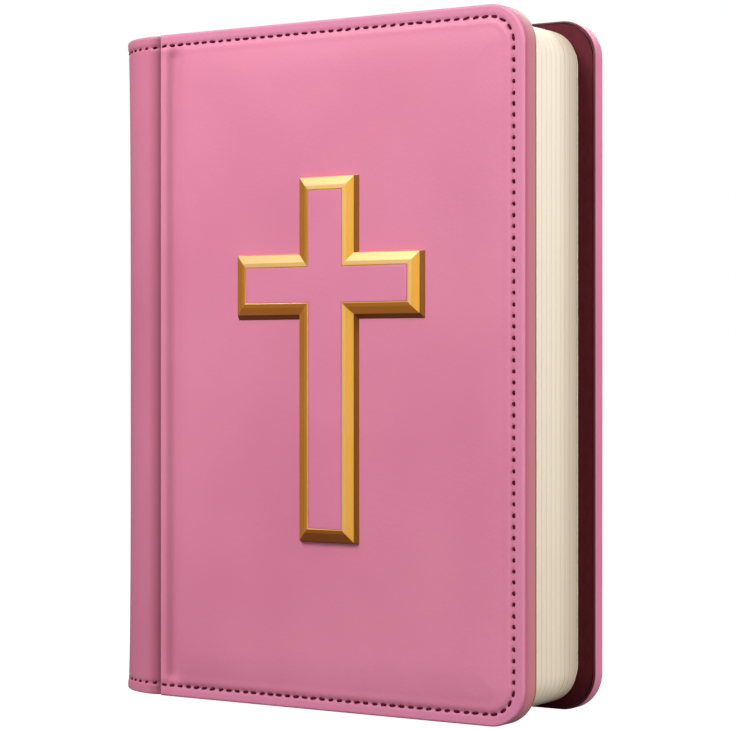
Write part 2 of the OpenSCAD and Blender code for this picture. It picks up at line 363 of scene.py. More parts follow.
def lining_paper():
    """Maroon paper with fibres along the book's height."""
    look = Look("lining_maroon", Specular_IOR_Level=0.15)
    fibres = look.noise(900.0, 4.0, 0.6, look.scaled(1.0, 1.0, 0.35))
    base = look.mix(look.remap(fibres, 0.35, 0.65), srgb(86, 20, 32), srgb(102, 28, 40))
    clouds = look.remap(look.noise(30.0), 0.3, 0.7, 0.0, 0.3)
    look.link("Base Color", look.mix(clouds, base, srgb(70, 15, 24)))
    look.link("Roughness", look.remap(fibres, 0.3, 0.7, 0.5, 0.66))
    look.bumps((fibres, 0.25, 0.06), (look.cells(2200.0), 0.2, 0.03))
    return look.material


def stitch_thread():
    """Twisted dark-maroon thread."""
    look = Look("thread_maroon", Specular_IOR_Level=0.1)
    plies = look.waves(900.0, look.scaled(1.0, 0.3, 1.0), "DIAGONAL", 1.5)
    look.link("Base Color", look.mix(plies, srgb(64, 4, 26), srgb(98, 12, 44)))
    look.link("Roughness", look.remap(plies, 0.0, 1.0, 0.5, 0.72))
    look.bumps((plies, 0.5, 0.06), (look.noise(5000.0), 0.3, 0.03))
    return look.material


def gold_metal():
    """Lacquered gold with painted shade by facet: light on the tops and crests, deep brown on the walls and
    undersides.
    """
    look = Look("gold_painted_shade", Metallic=0.4, Specular_IOR_Level=0.4)
    # The colour is painted shade by facet, carried in from the frame's mesh.
    tone_and_painted_shade = look.attribute("tone_and_painted_shade")
    drift = look.remap(look.noise(45.0, 3.0), 0.3, 0.7, -0.02, 0.02)
    base = look.ramp(look.maths("ADD", tone_and_painted_shade, drift), GOLD_PAINTED_SHADE_STOPS)
    brushed = look.noise(1.0, 4.0, 0.6, look.scaled(2600.0, 2600.0, 260.0))
    look.link("Base Color", look.mix(look.remap(brushed, 0.4, 0.75, 0.0, 0.1), base, srgb(150, 96, 40)))
    look.link("Roughness", look.remap(brushed, 0.3, 0.7, 0.34, 0.44))
    look.bumps((brushed, 0.1, 0.03), (look.noise(300.0, 2.0), 0.08, 0.15))
    return look.material


def page_paper():
    """Edges of cream leaves: a colour for each leaf with painted shade that darkens the leaves towards the
    back cover, and fine lines along the leaves.
    """
    look = Look("page_cream", Specular_IOR_Level=0.25)
    lines = look.noise(1.0, 2.0, 0.6, look.scaled(60.0, 5200.0, 24.0))
    tone_and_painted_shade = look.maths("ADD", look.attribute("tone_and_painted_shade"), look.remap(lines, 0.3, 0.7, -0.06, 0.06))
    # The darker cream is the painted shade near the back cover.
    base = look.mix(tone_and_painted_shade, srgb(188, 170, 150), srgb(242, 230, 210))
    # The leaves' edges blend towards a duller cream near the tail, fading out upwards.
    tail_tint = look.remap(look.attribute("edge_low"), 0.0, 1.0, 0.0, 0.4)
    look.link("Base Color", look.mix(tail_tint, base, srgb(214, 196, 166)))
    look.link("Roughness", look.remap(lines, 0.3, 0.7, 0.62, 0.78))
    look.bumps((lines, 0.2, 0.1), (look.noise(1600.0, 3.0), 0.12, 0.05))
    return look.material


def plain_paper(name, dark, light, fibre_scale):
    """Fibrous paper, card or board."""
    look = Look(name, Specular_IOR_Level=0.25)
    fibres = look.noise(fibre_scale, 5.0, 0.65)
    specks = look.remap(look.cells(fibre_scale * 1.6), 0.05, 0.4)
    base = look.mix(look.remap(fibres, 0.35, 0.65), dark, light)
    look.link("Base Color", look.mix(look.maths("MULTIPLY", specks, 0.2), base, dark))
    look.link("Roughness", look.remap(fibres, 0.3, 0.7, 0.72, 0.9))
    look.bumps((fibres, 0.3, 0.08), (specks, 0.15, 0.04))
    return look.material


def woven(name, dark, light, threads_per_metre):
    """Plain weave of linen or cotton, wrapped round z."""
    look = Look(name, Specular_IOR_Level=0.25, Sheen_Weight=0.3)
    weft = look.waves(threads_per_metre / 6.3, None, "Z", 0.6)
    warp = look.waves(threads_per_metre / 6.3, None, "Y", 0.6)
    weave = look.maths("MAXIMUM", weft, warp)
    look.link("Base Color", look.mix(weave, dark, light))
    look.link("Roughness", look.remap(look.noise(900.0), 0.3, 0.7, 0.75, 0.92))
    look.bumps((weave, 0.6, 0.12), (look.noise(3000.0), 0.2, 0.04))
    return look.material


def silk_band():
    """Wrapped silk of the head and tail bands, in maroon and cream."""
    look = Look("band_silk_striped", Specular_IOR_Level=0.5, Sheen_Weight=0.4)
    wraps = look.waves(420.0, None, "Y", 0.2)
    stripes = look.remap(look.waves(95.0, None, "Y"), 0.45, 0.55)
    colour = look.mix(stripes, srgb(96, 26, 46), srgb(234, 214, 190))
    look.link("Base Color", look.mix(look.maths("MULTIPLY", wraps, 0.25), colour, srgb(60, 20, 30)))
    look.link("Roughness", look.remap(wraps, 0.0, 1.0, 0.35, 0.55))
    look.bumps((wraps, 0.7, 0.12))
    return look.material


def foam_pad():
    """Open-cell foam, shown where a cut would show it."""
    look = Look("foam_open_cell", Specular_IOR_Level=0.2)
    pores = look.cells(1300.0)
    look.link("Base Color", look.mix(look.remap(pores, 0.1, 0.5), srgb(206, 200, 178), srgb(240, 236, 218)))
    look.link("Roughness", look.remap(pores, 0.0, 0.6, 0.95, 0.8))
    look.bumps((pores, 0.8, 0.25), (look.noise(2600.0), 0.3, 0.05))
    return look.material


def steel():
    """Pressed steel of the washers."""
    look = Look("steel_pressed", Metallic=1.0)
    brushed = look.noise(1.0, 3.0, 0.6, look.scaled(4000.0, 400.0, 400.0))
    stains = look.remap(look.noise(500.0), 0.4, 0.7)
    look.link("Base Color", look.mix(stains, srgb(176, 178, 182), srgb(140, 138, 136)))
    look.link("Roughness", look.remap(brushed, 0.3, 0.7, 0.28, 0.45))
    look.bumps((brushed, 0.15, 0.02))
    return look.material


LEATHER = leatherette()
LINING = lining_paper()
THREAD = stitch_thread()
GOLD = gold_metal()
PAGES = page_paper()
FOAM = foam_pad()

# ---------------------------------------------------------------- cover leather


def shares(length, fine_start, fine_end):
    """Shares of a length from 0 to 1, closer together in the stretches at its start and end."""
    places = [0.0]
    while places[-1] < length:
        at = places[-1]
        step = FINE_STEP if at < fine_start or at > length - fine_end else COARSE_STEP
        places.append(length if length - at < 1.4 * step else at + step)
    return [p / length for p in places]


X_SHARES = shares(COVER_W - CORNER_R, FINE_ZONE, 0.0)
Z_SHARES = shares(COVER_H, FINE_ZONE, FINE_ZONE)


def cover_ring(inset):
    """A cover's outline made smaller by inset: up the joint side, then by head, fore-edge and tail."""
    turn_x = COVER_W - CORNER_R
    top = COVER_H - CORNER_R
    radius = CORNER_R - inset
    arc = [math.pi / 2 * k / ARC_STEPS for k in range(ARC_STEPS)]
    ring = [(inset, inset + t * (COVER_H - 2 * inset)) for t in Z_SHARES[:-1]]
    ring += [(inset + t * (turn_x - inset), COVER_H - inset) for t in X_SHARES[:-1]]
    ring += [(turn_x + radius * math.sin(a), top + radius * math.cos(a)) for a in arc]
    ring += [(COVER_W - inset, CORNER_R + t * (COVER_H - 2 * CORNER_R)) for t in reversed(Z_SHARES[1:])]
    ring += [(turn_x + radius * math.cos(a), CORNER_R - radius * math.sin(a)) for a in arc]
    ring += [(inset + t * (turn_x - inset), inset) for t in reversed(X_SHARES[1:])]
    return ring


def free_edge(x, z):
    """Distance to the nearest of the head, fore-edge and tail edges, and the phase of the stitches."""
    turn_x = COVER_W - CORNER_R
    beyond_z = max(z - (COVER_H - CORNER_R), CORNER_R - z)
    if x > turn_x and beyond_z > 0:
        angle = math.atan2(beyond_z, x - turn_x)
        return CORNER_R - math.hypot(x - turn_x, beyond_z), angle / (math.pi / 2) * CORNER_STITCHES - 0.5
    side_h = COVER_H - 2 * CORNER_R
    if COVER_W - x < min(z, COVER_H - z):
        pitch = side_h / math.floor(side_h / STITCH_PITCH)
        return COVER_W - x, (z - CORNER_R) / pitch - 0.5
    return min(z, COVER_H - z), x / ROW_PITCH - 0.5


def cover_relief(x, z):
    """Height of a cover's padded face over its flat plane."""
    edge, phase = free_edge(x, z)
    padded = swell(edge - PAD_START, PAD_RISE) * swell(x - GROOVE_X, GROOVE_RISE)
    across = 1 - ((x - COVER_W / 2) / (COVER_W / 2)) ** 2
    along = 1 - ((z - COVER_H / 2) / (COVER_H / 2)) ** 2
    groove = smooth_step(x, GROOVE_START, GROOVE_X) * (1 - smooth_step(x, GROOVE_X, GROOVE_END))
    groove *= smooth_step(edge, 2.6, 6.5)
    ridge = bump(x, 1.2, 0.9)
    pull = bump(edge, STITCH_INSET, DIP_WIDTH) * (0.72 + 0.28 * math.cos(2 * math.pi * phase))
    beside = 0.1 * bump(edge, STITCH_INSET + 1.5, 0.8)
    return (CROWN_H * padded + DOME_H * across * along * padded - GROOVE_H * groove
            + 0.08 * ridge - STITCH_DIP * pull + beside)


def cover_profile(thickness):
    """(inset, depth) of the rings from the cavity over the rim and the wall to the face's edge."""
    rim = thickness - LINING_T
    rings = [(CAVITY_INSET, FLOOR_T), (CAVITY_INSET, rim - 0.04), (RIM_W, rim + 0.02)]
    rings += [(RIM_W, thickness - 0.12), (0.5, thickness - 0.02), (0.34, thickness)]
    rings += [(0.16, thickness - 0.06), (0.05, thickness - 0.22)]
    wall = thickness - 0.5 - EDGE_R
    rings += [(0.0, EDGE_R + wall * k / 5) for k in range(5, 0, -1)]
    for k in range(6):
        angle = math.pi / 2 * k / 6
        rings.append((EDGE_R * (1 - math.cos(angle)), EDGE_R * (1 - math.sin(angle))))
    return rings


# Rings of the face from its edge inwards, closest together at the stitches
FACE_INSETS = [
    EDGE_R, 0.85, 1.2, 1.6, 1.95, 2.25, 2.5, 2.7, 2.9, 3.1, 3.3, 3.55, 3.85, 4.2, 4.6, 5.0,
    5.5, 6.0, 6.5, 7.0, 7.6, 8.2, 8.8,
]


def cover_leather(name, thickness, place_y, painted_wall_shade):
    """A cover's leather: padded face, wall, rim and the pocket that holds foam and board."""
    vertices, faces = [], []
    profile = cover_profile(thickness)
    for inset, depth in profile:
        vertices += [(x, place_y(depth), z) for x, z in cover_ring(inset)]
    for inset in FACE_INSETS:
        vertices += [(x, place_y(-cover_relief(x, z)), z) for x, z in cover_ring(inset)]
    count = len(cover_ring(0))
    rings = len(profile) + len(FACE_INSETS)
    faces.append(list(range(count)))
    columns = [CORNER_R + t * (COVER_W - 2 * CORNER_R) for t in X_SHARES]
    rows = [CORNER_R + t * (COVER_H - 2 * CORNER_R) for t in Z_SHARES]
    vertices += [(x, place_y(-cover_relief(x, z)), z) for x, z in cover_ring(CORNER_R)]
    faces += ring_faces(0, count, rings + 1)
    first_grid = len(vertices)
    vertices += [(x, place_y(-cover_relief(x, z)), z) for x in columns for z in rows]
    for i in range(len(columns) - 1):
        for j in range(len(rows) - 1):
            a = first_grid + i * len(rows) + j
            faces.append((a, a + 1, a + len(rows) + 1, a + len(rows)))

    def depth_of(y):
        return y if place_y(0) == 0 else BOOK_T - y  # depth under the face, on either cover

    paint = leather_paint(
        border=lambda x, y, z: border_share(x, depth_of(y), z),
        wall=lambda x, y, z: wall_share(x, depth_of(y), z, thickness) * painted_wall_shade,
        turn=lambda x, y, z: smooth_step(depth_of(y), thickness - 0.5, thickness - 0.25),
        fold=lambda x, y, z: painted_groove_shade(x, z),
        wear=lambda x, y, z: wear_share(x, depth_of(y), z),
    )
    piece = make_piece(name, vertices, faces, LEATHER, paint, 50.0)
    return piece


def border_share(x, depth, z):
    """1 on the flat band outside the stitches and 0 on the padded field."""
    edge = free_edge(x, z)[0]
    return (1 - smooth_step(edge, 2.2, 3.6)) * smooth_step(x, 1.5, 5.0) if depth < EDGE_R else 0.0


def wall_share(x, depth, z, thickness):
    """0 on the face, and the share of the wall's depth below its edge."""
    if free_edge(x, z)[0] > 1.1 and x > 1.1:
        return 0.0
    return max(0.0, (depth - 0.4 * EDGE_R) / (thickness - 0.4 * EDGE_R))


def painted_groove_shade(x, z):
    """Painted shade in the groove beside the joint."""
    return 0.34 * bump(x, 3.1, 1.3) * smooth_step(free_edge(x, z)[0], 2.6, 6.0)


def wear_share(x, depth, z):
    """Rubbing, strongest on the fore-edge corners, and a painted highlight along the ridge at the joint."""
    if depth > EDGE_R:
        return 0.0
    edge = free_edge(x, z)[0]
    corner = smooth_step(x, COVER_W - 16, COVER_W - 4) * smooth_step(abs(z - COVER_H / 2), 68, 82)
    return 0.3 * bump(edge, 0.35, 0.4) * (0.3 + corner) + 0.4 * bump(x, 0.9, 0.7)


# Painted shade on the front cover's wall only; the back cover's wall keeps the plain leather colour.
front_skin = cover_leather("front_leather_skin", FRONT_T, lambda depth: depth, 1.0)
back_skin = cover_leather("back_leather_skin", BACK_T, lambda depth: BOOK_T - depth, 0.0)
for skin, body in ((front_skin, "front_cover"), (back_skin, "back_cover")):
    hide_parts(body.replace("cover", "leather"))
    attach(skin, body)

# ---------------------------------------------------------------- spine


def spine_path():
    """(point, outward direction, roundness, length so far) across the spine from joint to joint."""
    middle = BOOK_T / 2
    path = [((-x, SPINE_STEP), (0.0, -1.0), 0.0, 0.0) for x in (0.0, 0.3, 0.6)]
    steps = 128
    for k in range(steps + 1):
        angle = math.pi * k / steps
        out = (-math.sin(angle), -math.cos(angle))
        point = (-SPINE_STEP + SPINE_R * out[0], middle + SPINE_R * out[1])
        path.append((point, out, roundness(angle), SPINE_R * angle))
    path += [((-x, BOOK_T - SPINE_STEP), (0.0, 1.0), 0.0, SPINE_ARC) for x in (0.6, 0.3, 0.0)]
    return path


def roundness(angle):
    """0 at the joints and 1 at the middle of the spine's arc."""
    return math.sin(angle) ** 0.6


def spine_offset(from_end, round_share, along):
    """How far the spine's outside stands out from its arc: it flares to rolled caps at the ends."""
    flare = 0.6 * math.exp(-from_end / 18)
    roll = max(0.0, 1 - ((from_end - CAP_H / 2) / (CAP_H / 2)) ** 2)
    phase = (along - SPINE_START) / STITCH_PITCH - 0.5
    pull = bump(from_end, SPINE_STITCH_INSET, 0.5) * (0.75 + 0.25 * math.cos(2 * math.pi * phase))
    from_joint = min(along, SPINE_ARC - along)
    sink = SPINE_SINK * (1 - min(1.0, from_joint / 3.2)) ** 2
    return SPINE_PUFF * round_share + (flare + 0.22 * math.sqrt(roll)) * round_share - 0.3 * pull - sink


def spine_levels():
    """Heights of the spine's rings, close together at the rolled caps and the stitches."""
    near = [0.0, 0.06, 0.18, 0.36, 0.6, 0.9, 1.25, 1.6, 1.9, 2.15, 2.35]
    near += [2.55, 2.75, 2.95, 3.15, 3.4, 3.7, 4.1, 4.7, 5.5, 6.5, 8.0]
    middle = [near[-1] + (COVER_H - 2 * near[-1]) * k / 70 for k in range(1, 70)]
    return near + middle + [COVER_H - z for z in reversed(near)]


def spine_leather_piece():
    """The spine's leather: its outside, its inside and the edges between them."""
    levels = spine_levels()
    path = spine_path()
    vertices, faces = [], []
    for (px, py), (ox, oy), round_share, along in path:
        outer, inner = [], []
        for z in levels:
            from_end = min(z, COVER_H - z)
            edge = min(1.0, from_end / 0.5)
            rounding = 1 - math.sqrt(1 - (1 - edge) ** 2)
            out = spine_offset(from_end, round_share, along) - rounding * SPINE_T / 2
            under = out if from_end == 0 else min(-SPINE_T, out - 0.6) + rounding * SPINE_T / 2
            outer.append((px + ox * out, py + oy * out, z))
            inner.append((px + ox * under, py + oy * under, z))
        vertices += outer + inner
    rows = len(levels)
    block = 2 * rows
    for i in range(len(path) - 1):
        for j in range(rows - 1):
            a = i * block + j
            faces.append((a, a + 1, a + block + 1, a + block))
            b = a + rows
            faces.append((b, b + block, b + block + 1, b + 1))
    for i in (0, len(path) - 1):
        for j in range(rows - 1):
            a = i * block + j
            faces.append((a, a + rows, a + rows + 1, a + 1))

    def wear(x, y, z):
        from_end = min(z, COVER_H - z)
        return 0.6 * bump(from_end, 0.3, 0.5) + 0.15 * bump(from_end, CAP_H / 2, 0.8)

    # Painted shade over the whole spine, deepest at the creases by the joints.
    def fold(x, y, z):
        angle = math.asin(min(1.0, max(0.0, -(x + SPINE_STEP) / SPINE_R)))
        return 0.22 + 0.78 * (1 - min(1.0, SPINE_R * angle / 4.2)) ** 1.5

    paint = leather_paint(wear=wear, fold=fold)
    piece = make_piece("spine_leather_skin", vertices, faces, LEATHER, paint, 60.0)
    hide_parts("spine_leather")
    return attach(piece, "spine_block")


spine_leather_piece()


def joint_web(name, place_y):
    """The strip of leather in a joint."""
    across = [-0.85, -0.5, -0.25] + [-0.2 + 0.4 * k / 14 for k in range(15)] + [0.25, 0.4, 0.55]
    depths = [2.0, 2.25, 2.5]
    outline = [(x, depths[0]) for x in across] + [(across[-1], depths[1])]
    outline += [(x, depths[2]) for x in reversed(across)] + [(across[0], depths[1])]
    heights = [0.5 + (COVER_H - 1.0) * k / 40 for k in range(41)]
    vertices = [(x, place_y(d), z) for z in heights for x, d in outline]
    count = len(outline)
    faces = ring_faces(0, count, len(heights))
    columns = len(across)
    for first in (0, (len(heights) - 1) * count):
        for i in range(columns - 1):
            faces.append((first + i, first + i + 1, first + 2 * columns - 1 - i, first + 2 * columns - i))
        faces.append((first, first + 2 * columns, first + 2 * columns + 1))
        faces.append((first + columns - 1, first + columns, first + columns + 1))
    piece = make_piece(name, vertices, faces, LEATHER, leather_paint(), 60.0)
    start, end = to_frame(-0.2, place_y(0), 0), to_frame(0.2, place_y(0), 0)
    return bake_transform(piece)


joint_web("front_joint_web", lambda depth: depth)
joint_web("back_joint_web", lambda depth: BOOK_T - depth)

# ---------------------------------------------------------------- stitching


def add_stitch(vertices, faces, centre, along, out, length, radius, tilt, proud):
    """A stitch: a short bent thread whose ends go down into the leather."""
    across = out.cross(along)
    run = along * math.cos(tilt) + across * math.sin(tilt)
    side = out.cross(run)
    first = len(vertices)
    rings, sides = 7, 8
    for k in range(rings):
        u = -1 + 2 * k / (rings - 1)
        middle = centre + run * (u * length / 2) + out * (proud - radius - 0.55 * u ** 4)
        thick = radius * (1 - 0.45 * abs(u) ** 3)
        for i in range(sides):
            angle = 2 * math.pi * i / sides
            point = middle + side * (thick * math.cos(angle)) + out * (thick * math.sin(angle))
            vertices.append(tuple(point))
    faces += rod_faces(first, sides, rings)


def cover_stitch_places():
    """(place in x and z, direction along the row, kind) of each stitch of a cover."""
    places = []
    for i in range(ROW_STITCHES):
        for z in (COVER_H - STITCH_INSET, STITCH_INSET):
            places.append(((i + 0.5) * ROW_PITCH, z, Vector((1, 0, 0)), "row"))
    side_h = COVER_H - 2 * CORNER_R
    count = math.floor(side_h / STITCH_PITCH)
    for i in range(count):
        z = CORNER_R + (i + 0.5) * side_h / count
        places.append((COVER_W - STITCH_INSET, z, Vector((0, 0, 1)), "side"))
    radius = CORNER_R - STITCH_INSET
    for end in (-1, 1):
        for k in range(CORNER_STITCHES):
            angle = math.pi / 2 * (k + 0.5) / CORNER_STITCHES
            x = COVER_W - CORNER_R + radius * math.cos(angle)
            z = (CORNER_R if end < 0 else COVER_H - CORNER_R) + end * radius * math.sin(angle)
            places.append((x, z, Vector((-math.sin(angle), 0, end * math.cos(angle))), "corner"))
    return places


# (length, thread radius, slant) of the stitches in each kind of row
STITCH_SIZES = {"row": (2.3, 0.33, 0.3), "side": (1.3, 0.46, 0.5), "corner": (2.4, 0.36, 0.2)}


def cover_stitching(name, node, body, face_y, inner_y, out, seed):
    """Thread of a cover, on its face and on its lining."""
    dice = random.Random(seed)
    vertices, faces = [], []
    for x, z, along, kind in cover_stitch_places():
        length, radius, slant = STITCH_SIZES[kind]
        length *= dice.uniform(0.85, 1.1)
        radius *= dice.uniform(0.88, 1.08)
        tilt = dice.uniform(-0.35, 1.0) * slant
        shift = along * dice.uniform(-0.12, 0.12)
        centre = Vector((x, face_y, z)) + shift
        add_stitch(vertices, faces, centre, along, out, length, radius, tilt, 0.16)
        centre = Vector((x, inner_y, z)) - shift
        add_stitch(vertices, faces, centre, along, -out, length * 0.9, 0.3, -tilt, 0.03)
    piece = make_piece(name, vertices, faces, THREAD, None, 60.0)
    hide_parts(node)
    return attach(piece, body)


FORWARD = Vector((0, -1, 0))
BACKWARD = Vector((0, 1, 0))
BACK_INNER = BOOK_T - BACK_T
cover_stitching("front_stitch_thread", "front_stitching", "front_cover", 0.0, FRONT_T, FORWARD, 11)
cover_stitching("back_stitch_thread", "back_stitching", "back_cover", BOOK_T, BACK_INNER, BACKWARD, 12)


def spine_stitching():
    """Stitches under the rolled caps, which run on from those of the covers."""
    dice = random.Random(13)
    vertices, faces = [], []
    for z in (SPINE_STITCH_INSET, COVER_H - SPINE_STITCH_INSET):
        for k in range(SPINE_STITCHES):
            along = SPINE_START + (k + 0.5) * STITCH_PITCH
            angle = along / SPINE_R
            out = Vector((-math.sin(angle), -math.cos(angle), 0))
            offset = spine_offset(SPINE_STITCH_INSET, roundness(angle), along)
            centre = Vector((-SPINE_STEP, BOOK_T / 2, z)) + out * (SPINE_R + offset)
            run = Vector((0, 0, 1)).cross(out)
            add_stitch(vertices, faces, centre, run, out, 1.8 * dice.uniform(0.9, 1.1), THREAD_R,
                       0.3 + dice.uniform(-0.15, 0.15), 0.36)
    piece = make_piece("spine_stitch_thread", vertices, faces, THREAD, None, 60.0)
    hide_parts("spine_stitching")
    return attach(piece, "spine_block")


spine_stitching()

# ---------------------------------------------------------------- cross


def cross_outline(left, right, top, under, foot):
    """The cross's opening, made larger on each side by an amount for the way that side faces."""
    half_up, half_arm = UPRIGHT_W / 2, (CROSS_HIGH.x - CROSS_LOW.x) / 2 + 0.05
    x_in, x_out = CROSS_X - half_up - left, CROSS_X + half_up + right
    x_far_in, x_far_out = CROSS_X - half_arm - left, CROSS_X + half_arm + right
    z_top, z_foot = CROSS_HIGH.z + 0.05 + top, CROSS_LOW.z - 0.05 - foot
    z_arm, z_under = ARM_Z + ARM_W / 2 + top, ARM_Z - ARM_W / 2 - under
    return [
        (x_in, z_top), (x_out, z_top), (x_out, z_arm), (x_far_out, z_arm), (x_far_out, z_under),
        (x_out, z_under), (x_out, z_foot), (x_in, z_foot), (x_in, z_under), (x_far_in, z_under),
        (x_far_in, z_arm), (x_in, z_arm),
    ]


# The way each side of the outline faces, in the order of its corners
SIDE_FACES = [
    "top", "right", "top", "right", "under", "right",
    "foot", "left", "under", "left", "top", "left",
]
CROSS_CORNERS = len(SIDE_FACES)
FRAME_TOP = -3.0
FRAME_WALL = -2.1
FRAME_FOOT = -0.3
LAND_W = 0.3
# (y, growth on the left, right, top, under and foot sides), from the foot of the wall round to the back
FRAME_LEVELS = [
    (FRAME_FOOT, (BAND_W + 0.45, BAND_W + 1.2, BAND_W + 0.12, BAND_W + 1.55, BAND_W + 0.5)),
    (FRAME_WALL, (BAND_W - 0.1, BAND_W - 0.25, BAND_W - 0.1, BAND_W - 0.4, BAND_W - 0.15)),
    (FRAME_TOP + 0.14, (1.15,) * 5),
    (FRAME_TOP, (LAND_W,) * 5),
    (FRAME_TOP, (0.02,) * 5),
    (FRAME_FOOT, (0.0,) * 5),
]
# Painted shade of the gold for each facet, by the way it faces: lightest on the tops, deepest on the walls
# and undersides. The last three rows serve the land, the inner lip and the back.
FRAME_WALL_PAINTED_SHADE = {"top": 0.78, "right": 0.15, "left": 0.2, "under": 0.0, "foot": 0.1}
FRAME_BEVEL_PAINTED_SHADE = {"top": 1.0, "right": 0.78, "left": 0.6, "under": 0.45, "foot": 0.3}
FRAME_CREST_PAINTED_SHADE = {"top": 1.0, "right": 0.86, "left": 0.64, "under": 0.5, "foot": 0.36}
FRAME_PAINTED_SHADES = [FRAME_WALL_PAINTED_SHADE, FRAME_BEVEL_PAINTED_SHADE, FRAME_CREST_PAINTED_SHADE]
FRAME_PAINTED_SHADES += [dict.fromkeys(FRAME_WALL_PAINTED_SHADE, tone_and_painted_shade) for tone_and_painted_shade in (0.8, 0.3, 0.2)]
# (y, radius) along a prong, and (y, inset) of the inlay's rings
PRONG_LEVELS = [(FRAME_FOOT - 0.3, 0.9), (0.5, 0.8), (3.6, 0.78), (4.7, 0.6), (4.85, 0.3)]
PRONG_SPREAD = 18.0
INLAY_LEVELS = [(FRAME_FOOT, 0.01), (-2.92, 0.01), (-2.97, 0.05), (-3.0, 0.2), (-3.02, 0.5), (-3.03, 1.2)]


def add_prong(vertices, faces, x, z):
    """A tapered prong that goes back through the cover board."""
    first = len(vertices)
    sides = 12
    for y, radius in PRONG_LEVELS:
        for i in range(sides):
            angle = 2 * math.pi * i / sides
            vertices.append((x + radius * math.cos(angle), y, z + radius * math.sin(angle)))
    faces += rod_faces(first, sides, len(PRONG_LEVELS))


def cross_frame_piece():
    """The bevelled frame of the cross with its prongs, and painted shade for each facet by the way it
    faces.
    """
    vertices, faces, tones_and_painted_shades = [], [], []
    for y, grow in FRAME_LEVELS:
        vertices += [(x, y, z) for x, z in cross_outline(*grow)]
    levels = len(FRAME_LEVELS)
    for level in range(levels):
        a, b = level * CROSS_CORNERS, (level + 1) % levels * CROSS_CORNERS
        for i, side in enumerate(SIDE_FACES):
            j = (i + 1) % CROSS_CORNERS
            faces.append((a + i, a + j, b + j, b + i))
            tones_and_painted_shades.append(FRAME_PAINTED_SHADES[level][side])
    middle = BAND_W / 2
    prongs = [(CROSS_X, CROSS_LOW.z - middle), (CROSS_X, CROSS_HIGH.z + middle)]
    prongs += [(CROSS_X + side * PRONG_SPREAD, ARM_Z + ARM_W / 2 + middle) for side in (-1, 1)]
    for x, z in prongs:
        add_prong(vertices, faces, x, z)
    tones_and_painted_shades += [0.5] * (len(faces) - len(tones_and_painted_shades))
    piece = make_piece("cross_frame_bevelled", vertices, faces, GOLD, None, 8.0)
    # Painted shade for each facet, read by the gold's material.
    piece.data.attributes.new("tone_and_painted_shade", "FLOAT", "FACE").data.foreach_set("value", tones_and_painted_shades)
    bevel = piece.modifiers.new("edges", "BEVEL")
    bevel.width = 0.1 * MM
    bevel.segments = 2
    bevel.limit_method = "ANGLE"
    bevel.angle_limit = math.radians(12)
    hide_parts("cross_frame")
    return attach(piece, "front_cover")


cross_frame_piece()


def cross_inlay_piece():
    """The leatherette inlay of the cross, a slab with soft edges on which the frame closes."""
    vertices = []
    for y, inset in INLAY_LEVELS:
        vertices += [(x, y, z) for x, z in cross_outline(*[-inset] * 5)]
    faces = ring_faces(0, CROSS_CORNERS, len(INLAY_LEVELS))
    for first in (0, (len(INLAY_LEVELS) - 1) * CROSS_CORNERS):
        faces.append([first + i for i in (0, 1, 2, 11)])
        faces.append([first + i for i in (2, 3, 4, 5)])
        faces.append([first + i for i in (11, 2, 5, 8)])
        faces.append([first + i for i in (8, 9, 10, 11)])
        faces.append([first + i for i in (5, 6, 7, 8)])
    piece = make_piece("cross_inlay_leather", vertices, faces, LEATHER, leather_paint(), 40.0)
    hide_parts("cross_inlay")
    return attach(piece, "front_cover")


cross_inlay_piece()

# ---------------------------------------------------------------- pages


def page_columns(x_left):
    """Places along a leaf from its fold to where its fore-edge corner starts."""
    bend = [BEND_START + (BEND_END - BEND_START) * k / 16 for k in range(17)]
    flat = [x for x in (-12.0, -8.0, -5.0, -2.5, 0.0) if x > x_left + 0.4]
    return [x_left] + flat + [x for x in bend if x > x_left + 0.2] + [45.0, 70.0]


def page_ring(x_left, trim_fore, trim_head, z_low, z_high):
    """A leaf's outline as matching (tail point, head point) pairs from its fold to the fore-edge."""
    radius = PAGE_CORNER_R
    turn_x = PAGE_X1 - radius - trim_fore
    pairs = [((x, z_low + trim_head), (x, z_high - trim_head)) for x in page_columns(x_left)]
    for k in range(11):
        angle = math.pi / 2 * k / 10
        x = turn_x + radius * math.sin(angle)
        rise = radius * (1 - math.cos(angle)) + trim_head
        pairs.append(((x, z_low + rise), (x, z_high - rise)))
    return pairs


